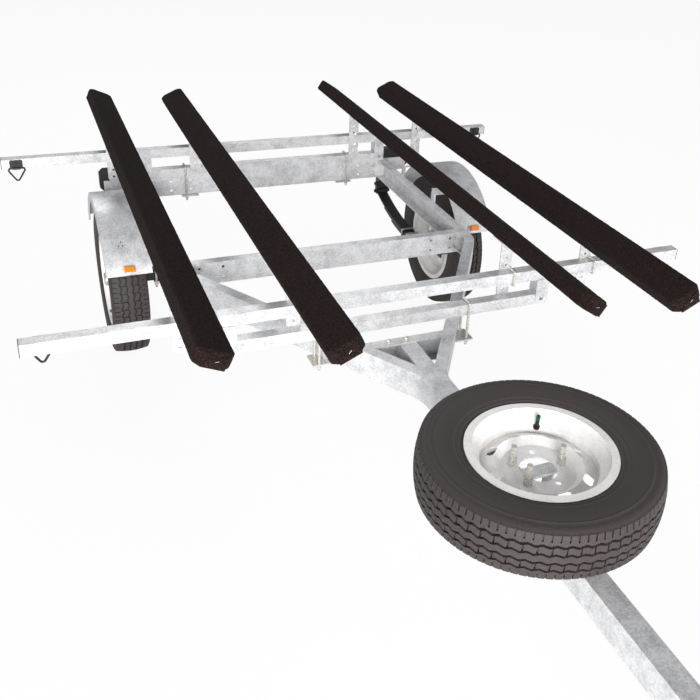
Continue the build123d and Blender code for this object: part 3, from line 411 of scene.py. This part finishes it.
def half_outline():
    """(radius, across) points from the middle of the tread to the bead."""
    points = []
    for across in rib_rows:
        points.append((crown(across), across))
        for low, high in groove_rows:
            if across == low:
                points.append((crown(across) - groove_deep, across + groove_wall))
                points.append((crown(high) - groove_deep, high - groove_wall))
    points.append((shoulder_radius, shoulder_half))
    side = arc_points((shoulder_radius, shoulder_half), (belly_radius, belly_half),
                      (side_radius, side_half), side_steps)
    for radius, across in side:
        raised = any(low < radius < high for low, high in side_rings)
        points.append((radius, across + ring_high if raised else across))
    points.append((bead_radius, bead_half))
    return points


right_half = half_outline()
outline = [(r, -a) for r, a in reversed(right_half)] + right_half[1:]
mesh = bpy.data.meshes.new("tyre_outline")
mesh.from_pydata([(a, 0.0, r) for r, a in outline],
                 [(i, (i + 1) % len(outline)) for i in range(len(outline))], [])
tyre = bpy.data.objects.new("tyre_master", mesh)
bpy.context.scene.collection.objects.link(tyre)
only(tyre)
bpy.ops.object.mode_set(mode="EDIT")
bpy.ops.mesh.select_all(action="SELECT")
bpy.ops.mesh.spin(
    steps=tread_columns, angle=2 * math.pi, center=(0, 0, 0), axis=(1, 0, 0))
bpy.ops.mesh.select_all(action="SELECT")
bpy.ops.mesh.remove_doubles(threshold=near / 5)
bpy.ops.mesh.normals_make_consistent(inside=False)
bpy.ops.object.mode_set(mode="OBJECT")
print("tyre spun:", len(tyre.data.polygons), "faces from", len(outline), "points")

# %% Zigzag grooves and shoulder cuts
column_turn = 2 * math.pi / tread_columns


def column_at(place):
    return int(round(math.atan2(place.y, place.z) / column_turn)) % tread_columns


def zigzag(column):
    """Triangle wave from -1 to 1 along the tread."""
    phase = (column % zigzag_columns) / zigzag_columns
    return 4 * abs(phase - 0.5) - 1


groove_low = groove_rows[0][0] - near
groove_high = groove_rows[1][1] + near
for vertex in tyre.data.vertices:
    radius = math.hypot(vertex.co.y, vertex.co.z)
    across = abs(vertex.co.x)
    in_band = groove_low <= across <= groove_high and radius > shoulder_radius - groove_deep / 2
    if in_band and abs(across - rib_middle) > near:
        vertex.co.x += zigzag_reach * zigzag(column_at(vertex.co))

only(tyre)
bpy.ops.object.mode_set(mode="EDIT")
bpy.ops.mesh.select_mode(type="FACE")
bpy.ops.mesh.select_all(action="DESELECT")
bpy.ops.object.mode_set(mode="OBJECT")
for face in tyre.data.polygons:
    middle = face.center
    column = int(math.floor(math.atan2(middle.y, middle.z) / column_turn)) % tread_columns
    across = abs(middle.x)
    on_tread = math.hypot(middle.y, middle.z) > shoulder_radius - tread_margin
    on_shoulder = (cut_start < across < shoulder_half + shoulder_margin
                   and column % cut_columns == 0)
    on_rib = (groove_rows[0][1] < across < groove_rows[1][0]
              and column % zigzag_columns == slit_column)
    face.select = on_tread and (on_shoulder or on_rib)
bpy.ops.object.mode_set(mode="EDIT")
bpy.ops.mesh.inset(thickness=0.0, depth=-cut_deep)
bpy.ops.object.mode_set(mode="OBJECT")
tyre.data.update()
print("tread cut:", len(tyre.data.polygons), "faces")

# %% Three tyres from one
tyre_turns = {
    "tyre_left": Matrix.Identity(4),
    "tyre_right": Matrix.Identity(4),
    "spare_tyre": quarter_turn("Y", -1),
}
for name, turn in tyre_turns.items():
    dressed = copied(tyre, name + "_treaded", Matrix.Translation(middle_of(name)) @ turn)
    finish_piece(dressed, "tyre_rubber", body_of_node[name], 28.0)
    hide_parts(name)
bpy.data.objects.remove(tyre)
print("tyres", list(tyre_turns))

# %% [markdown]
# ## Carpeted bunks
# A bunk is a board wrapped in carpet: the cloth goes round the board, meets in a
# seam below, and is folded over each end like paper on a parcel, then stapled. The
# board starts as a cube with its ends clipped and its edges rounded. A fine remesh
# and a cloudy displacement give the nap its lumpy edge.

# %% Bunk boards
bunk_long = 2.134
bunk_wide = 0.092
bunk_thick = 0.046
bunk_clip = 0.016
bunk_round = 0.007
bunks = (
    ("bunk_outer_right", -24.0),
    ("bunk_inner_right", 25.0),
    ("bunk_inner_left", -33.0),
    ("bunk_outer_left", 26.0),
)
nap_voxel = 0.0045
nap_lump = 0.011
nap_reach = 0.0016
seam_across = 0.012
seam_deep = 0.0028

nap = bpy.data.textures.new("carpet_lumps", "CLOUDS")
nap.noise_scale = nap_lump
nap.noise_depth = 2


def board():
    """Board with clipped upright corners and rounded long edges."""
    piece = cube((bunk_wide, bunk_long, bunk_thick), (0, 0, 0))
    bpy.ops.object.mode_set(mode="EDIT")
    bpy.ops.mesh.select_mode(type="EDGE")
    bpy.ops.mesh.select_all(action="DESELECT")
    bpy.ops.object.mode_set(mode="OBJECT")
    points = piece.data.vertices
    for edge in piece.data.edges:
        a, b = (points[i].co for i in edge.vertices)
        edge.select = abs(a.z - b.z) > bunk_thick / 2
    bpy.ops.object.mode_set(mode="EDIT")
    bpy.ops.mesh.bevel(offset=bunk_clip, segments=1, affect="EDGES")
    bpy.ops.mesh.select_all(action="DESELECT")
    bpy.ops.object.mode_set(mode="OBJECT")
    for edge in piece.data.edges:
        a, b = (points[i].co for i in edge.vertices)
        edge.select = abs(a.z - b.z) < bunk_thick / 2
    bpy.ops.object.mode_set(mode="EDIT")
    bpy.ops.mesh.bevel(offset=bunk_round, segments=4, affect="EDGES")
    bpy.ops.object.mode_set(mode="OBJECT")
    return piece


def seam_pressed(piece):
    """Press a shallow line along the underside, where the carpet's edges meet."""
    for vertex in piece.data.vertices:
        below = vertex.co.z < -bunk_thick * 0.4
        if below and abs(vertex.co.x - seam_across) < nap_voxel * 0.8:
            vertex.co.z += seam_deep


master = board()
apply_modifier(master, "REMESH", mode="VOXEL", voxel_size=nap_voxel)
seam_pressed(master)
apply_modifier(master, "DISPLACE", texture=nap, strength=nap_reach, mid_level=0.5,
               texture_coords="LOCAL")
print("bunk board:", len(master.data.polygons), "faces")

# %% [markdown]
# The end folds are thin slabs cut like the flaps of a parcel: two side flaps come
# in first, and a lower flap is drawn up over them. Each is a face of four corners,
# extruded, with rounded edges, so that its shadow line shows the fold. The corners
# are shares of half the end's width and height.

# %% End folds and staples
flap_thick = 0.0026
flap_round = 0.0009
flap_half = bunk_wide / 2 - bunk_clip
flap_high = bunk_thick / 2 - 0.004
flap_shares = {
    "left": ((-1, -1), (-1, 1), (0.1, 0.55), (0.1, -0.6)),
    "right": ((1, -1), (1, 1), (-0.05, 0.3), (-0.05, -0.5)),
    "lower": ((-1, -1), (1, -1), (0.55, 0.25), (-0.6, 0.3)),
}


def flap(side, layers):
    """Thin slab over the end face, lying so many layers out."""
    made = bpy.data.meshes.new("flap")
    corners = [(across * flap_half, 0.0, height * flap_high)
               for across, height in flap_shares[side]]
    made.from_pydata(corners, [], [tuple(range(len(corners)))])
    piece = bpy.data.objects.new("flap", made)
    bpy.context.scene.collection.objects.link(piece)
    only(piece)
    bpy.ops.object.mode_set(mode="EDIT")
    bpy.ops.mesh.select_all(action="SELECT")
    bpy.ops.mesh.extrude_region_move(TRANSFORM_OT_translate={"value": (0, -flap_thick, 0)})
    bpy.ops.mesh.select_all(action="SELECT")
    bpy.ops.mesh.normals_make_consistent(inside=False)
    bpy.ops.object.mode_set(mode="OBJECT")
    apply_modifier(piece, "BEVEL", width=flap_round, segments=2)
    piece.data.transform(Matrix.Translation((0, -bunk_long / 2 - layers * flap_thick, 0)))
    return piece


# The folds and the staple are made on the front end; the rear end gets turned copies.
folds = joined([flap("left", 0), flap("right", 0.5), flap("lower", 1)], "folds")
staple_rod = 0.0006
staple_long = 0.010
staple_lean = math.radians(62)
staple_place = (0.004, -bunk_long / 2 - 2.1 * flap_thick, 0.001)
pin = cylinder(staple_rod, staple_long, staple_place, (0, staple_lean, 0), 8)
staple = joined([pin], "staple")
turn_round = quarter_turn("Z", 2)
for name, tilt_deg in bunks:
    tilt = Matrix.Rotation(math.radians(-tilt_deg), 4, "Y")
    spot = Matrix.Translation(middle_of(name)) @ tilt
    wrapped = copied(master, name + "_carpet", spot)
    finish_piece(wrapped, "carpet", "frame", 60.0)
    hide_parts(name)
    both = [copied(folds, "folds_a", spot), copied(folds, "folds_b", spot @ turn_round)]
    finish_piece(joined(both, name + "_end_folds"), "carpet", "frame", 50.0)
    pins = [copied(staple, "pin_a", spot), copied(staple, "pin_b", spot @ turn_round)]
    finish_piece(joined(pins, name + "_staples"), "zinc_steel", "frame")
for spare in (master, folds, staple):
    bpy.data.objects.remove(spare)
print("bunks wrapped", len(bunks))

# %% [markdown]
# ## Bolt heads and small fittings
# Hexagon heads sit on thin round washers wherever plates are held. One head is a
# six-sided cylinder with a bevelled rim, made once and copied to each row of places.
# Stations count from the axle, minus towards the tongue.

# %% Bolt heads


def bolt_head():
    """Hexagon head on its washer, standing on the ground plane."""
    hexagon = cylinder(head_radius, head_high, (0, 0, head_high / 2 + head_seat), sides=6)
    apply_modifier(hexagon, "BEVEL", width=head_rim, segments=2)
    washer = cylinder(washer_radius, washer_thick, (0, 0, head_seat / 2), sides=20)
    return joined([hexagon, washer], "head")


def along(station):
    """Place along Y of a station, which is counted from the axle."""
    return station + middle_of("axle").y


head_radius = 0.0075
head_high = 0.0055
head_seat = 0.0012
head_rim = 0.0007
washer_radius = 0.0098
washer_thick = 0.0014
head = bolt_head()

rail_web = 0.517
bracket_leg = 0.5213
end_flange = 0.462
carrier_side = 0.0309
coupler_side = 0.0308
side_rows = {
    "fender brackets": (bracket_leg, (-0.147, 0.147), (0.470, 0.493)),
    "rear crossmember": (rail_web, (0.345, 0.365), (0.450, 0.488)),
    "middle crossmember": (rail_web, (-0.441, -0.425), (0.469,)),
    "spare carrier": (carrier_side, (-1.829, -1.739), (0.487,)),
    "coupler": (coupler_side, (-3.030, -2.980), (0.474,)),
}
front_row = (end_flange, (0.339, -0.451), (0.451, 0.487))
top_row = ((-0.054, 0.0), -1.080, 0.507)


def row_of_heads(row, side, turn):
    """Heads at every station and height of a row, on one side of the trailer."""
    across, stations, heights = row
    places = [(side * across, along(station), height)
              for station in stations for height in heights]
    return [copied(head, "head_copy", Matrix.Translation(place) @ turn) for place in places]


heads = []
for side in (1, -1):
    for row in side_rows.values():
        heads += row_of_heads(row, side, quarter_turn("Y", side))
    heads += row_of_heads(front_row, side, quarter_turn("X"))
for across in top_row[0]:
    place = Matrix.Translation((across, along(top_row[1]), top_row[2]))
    heads.append(copied(head, "head_copy", place))
bolt_count = len(heads)
finish_piece(joined(heads, "bolt_heads"), "zinc_steel", "frame", 30.0)
print("bolt heads", bolt_count)

# %% [markdown]
# A light steel fender is stiffened by rolling the lower edge of its skirt round a
# wire. The bead is a small ring of points set on that edge and spun about the axle
# through the fender's arc. Three push rivets close the skin's holes near its front.

# %% Rolled fender edges and rivets
fender_radius = 0.315
fender_outer = 0.716
skirt_edge = fender_radius - 0.030
skirt_half_wall = 0.001
bead_rod = 0.0032
fender_start = math.radians(27.0)
bead_steps = 48
axle_place = Matrix.Translation(middle_of("axle"))


def fender_bead(side):
    """Round bead along the skirt's lower edge of one fender."""
    nothing_selected()
    bpy.ops.mesh.primitive_circle_add(vertices=12, radius=bead_rod, fill_type="NGON")
    bead = bpy.context.active_object
    across = side * (fender_outer - skirt_half_wall)
    bead.data.transform(Matrix.Translation((across, -skirt_edge, 0)))
    bead.data.transform(Matrix.Rotation(-fender_start, 4, "X"))
    bpy.ops.object.mode_set(mode="EDIT")
    bpy.ops.mesh.select_all(action="SELECT")
    bpy.ops.mesh.spin(
        steps=bead_steps, angle=math.pi - 2 * fender_start, center=(0, 0, 0), axis=(1, 0, 0))
    bpy.ops.mesh.select_all(action="SELECT")
    bpy.ops.mesh.normals_make_consistent(inside=False)
    bpy.ops.object.mode_set(mode="OBJECT")
    bead.data.transform(axle_place)
    return bead


beads = joined([fender_bead(1), fender_bead(-1)], "fender_beads")
finish_piece(beads, "galvanized", "frame", 50.0)
print("fender beads reach", [round(v, 3) for v in beads.dimensions])

rivet_radius = 0.0024
rivet_high = 0.0016
rivet_lift = 0.0006
rivet_rim = 0.0005
rivet_spots = ((0.657, 42.0), (0.666, 44.5), (0.653, 44.5))
rivets = []
for side in (1, -1):
    for across, forward_deg in rivet_spots:
        rivet = cylinder(rivet_radius, rivet_high, (0, 0, fender_radius + rivet_lift), sides=14)
        apply_modifier(rivet, "BEVEL", width=rivet_rim, segments=2)
        settle(rivet)
        rivet.data.transform(Matrix.Rotation(math.radians(forward_deg), 4, "X"))
        rivet.data.transform(axle_place @ Matrix.Translation((side * across, 0, 0)))
        rivets.append(rivet)
rivet_count = len(rivets)
finish_piece(joined(rivets, "fender_rivets"), "black_plastic", "frame")
print("rivets", rivet_count)

# %% [markdown]
# The tyre valves are a black rubber stem with a green cap. The spare's one is what
# the eye finds first in the pale wheel, so each wheel gets one.

# %% Valves


stem_radius = 0.0045
foot_radius = 0.0075
cap_radius = 0.0052
cap_rim = 0.001


def round_bar(radius, low, high):
    """Upright cylinder between two heights."""
    return cylinder(radius, high - low, (0, 0, (low + high) / 2), sides=16)


stem_bars = [round_bar(stem_radius, -0.006, 0.022), round_bar(foot_radius, -0.007, -0.001)]
stem = joined(stem_bars, "stem")
cap = round_bar(cap_radius, 0.020, 0.032)
apply_modifier(cap, "BEVEL", width=cap_rim, segments=2)
cap = joined([cap], "cap")
valve_place = Matrix.Translation((0.1235, 0, 0.024))
valve_lean = Matrix.Rotation(math.radians(-12), 4, "Y")
# Each wheel: how many quarter turns stand it up, and the valve's turn round the hub
valves = (("spare_wheel", 0, 62.0), ("wheel_left", 1, 40.0), ("wheel_right", -1, 200.0))
for name, quarters, turn_deg in valves:
    stand = Matrix.Translation(middle_of(name)) @ quarter_turn("Y", quarters)
    turn = Matrix.Rotation(math.radians(turn_deg), 4, "Z")
    spot = stand @ turn @ valve_place @ valve_lean
    finish_piece(copied(stem, name + "_valve", spot), "black_plastic", body_of_node[name])
    finish_piece(copied(cap, name + "_valve_cap", spot), "valve_green", body_of_node[name])
for spare in (stem, cap, head):
    bpy.data.objects.remove(spare)
print("valves", len(valves))

# %% [markdown]
# ## Studio
# A wide pale floor takes the shadow, and the world shows white to the camera while it
# lights the object at a low level, so the zinc keeps its contrast. Three large soft
# lamps stand round the trailer, as for a catalogue picture.

# %% Floor and light
bpy.ops.mesh.primitive_plane_add(size=60, location=(0, 0, 0))
floor = bpy.context.active_object
floor.name = "floor"
floor_look, shader = plain_material("floor_white", (0.97, 0.97, 0.97), 0.0, 0.9)
glow_share = 0.92
tree = floor_look.node_tree
rays = tree.nodes.new("ShaderNodeLightPath")
glow = tree.nodes.new("ShaderNodeEmission")
mix = tree.nodes.new("ShaderNodeMixShader")
share = tree.nodes.new("ShaderNodeMath")
share.operation = "MULTIPLY"
share.inputs[1].default_value = glow_share
tree.links.new(rays.outputs["Is Camera Ray"], share.inputs[0])
tree.links.new(share.outputs[0], mix.inputs[0])
tree.links.new(shader.outputs[0], mix.inputs[1])
tree.links.new(glow.outputs[0], mix.inputs[2])
tree.links.new(mix.outputs[0], tree.nodes["Material Output"].inputs["Surface"])
floor.data.materials.append(floor_look)

world = bpy.data.worlds.new("studio")
bpy.context.scene.world = world
world.use_nodes = True
tree = world.node_tree
backdrop = tree.nodes["Background"]
backdrop.inputs["Color"].default_value = (0.93, 0.95, 1.0, 1.0)
backdrop.inputs["Strength"].default_value = 0.3
white = tree.nodes.new("ShaderNodeBackground")
white.inputs["Color"].default_value = (1.0, 1.0, 1.0, 1.0)
white.inputs["Strength"].default_value = 1.0
rays = tree.nodes.new("ShaderNodeLightPath")
mix = tree.nodes.new("ShaderNodeMixShader")
tree.links.new(rays.outputs["Is Camera Ray"], mix.inputs[0])
tree.links.new(backdrop.outputs[0], mix.inputs[1])
tree.links.new(white.outputs[0], mix.inputs[2])
tree.links.new(mix.outputs[0], tree.nodes["World Output"].inputs["Surface"])


def soft_lamp(name, place, target, size, power):
    """Square area lamp at a place, turned to a target."""
    data = bpy.data.lights.new(name, "AREA")
    data.size = size
    data.energy = power
    lamp = bpy.data.objects.new(name, data)
    lamp.location = place
    lamp.rotation_euler = (Vector(target) - Vector(place)).to_track_quat("-Z", "Y").to_euler()
    bpy.context.scene.collection.objects.link(lamp)


soft_lamp("key", (-2.6, -5.8, 2.0), (0, 0, 0.5), 2.8, 700.0)
soft_lamp("fill", (4.6, -2.6, 2.2), (0, 0, 0.5), 3.0, 110.0)
soft_lamp("back", (0.5, 4.6, 4.0), (0, 0.4, 0.4), 3.0, 90.0)
print("lamps 3")

# %% [markdown]
# ## Camera
# The photograph was solved for its camera: height, turn, tilt, a few degrees of roll
# and a little shift, because the picture was cropped off centre. The forward, right
# and up vectors below are the camera's own directions.

# %% Camera
camera_place = (-0.9287, along(-3.026), 1.7854)
yaw, pitch, roll = (math.radians(a) for a in (26.0, -27.2, 4.3))
focal_pixels = 886.6
centre_pixels = (416.4, 285.9)
picture_pixels = 700
sensor = 36.0
forward = Vector((
    math.sin(yaw) * math.cos(pitch), math.cos(yaw) * math.cos(pitch), math.sin(pitch)))
level_right = Vector((math.cos(yaw), -math.sin(yaw), 0))
level_up = level_right.cross(forward)
right = math.cos(roll) * level_right + math.sin(roll) * level_up
up = -math.sin(roll) * level_right + math.cos(roll) * level_up
data = bpy.data.cameras.new("catalogue")
data.sensor_width = sensor
data.lens = focal_pixels / picture_pixels * sensor
data.shift_x = (picture_pixels / 2 - centre_pixels[0]) / picture_pixels
data.shift_y = (centre_pixels[1] - picture_pixels / 2) / picture_pixels
data.clip_end = 100
camera = bpy.data.objects.new("catalogue", data)
camera.matrix_world = Matrix.Translation(camera_place) @ Matrix(
    (right, up, -forward)).transposed().to_4x4()
bpy.context.scene.collection.objects.link(camera)
bpy.context.scene.camera = camera
bpy.context.scene.view_settings.view_transform = "Standard"
print("camera at", camera_place)
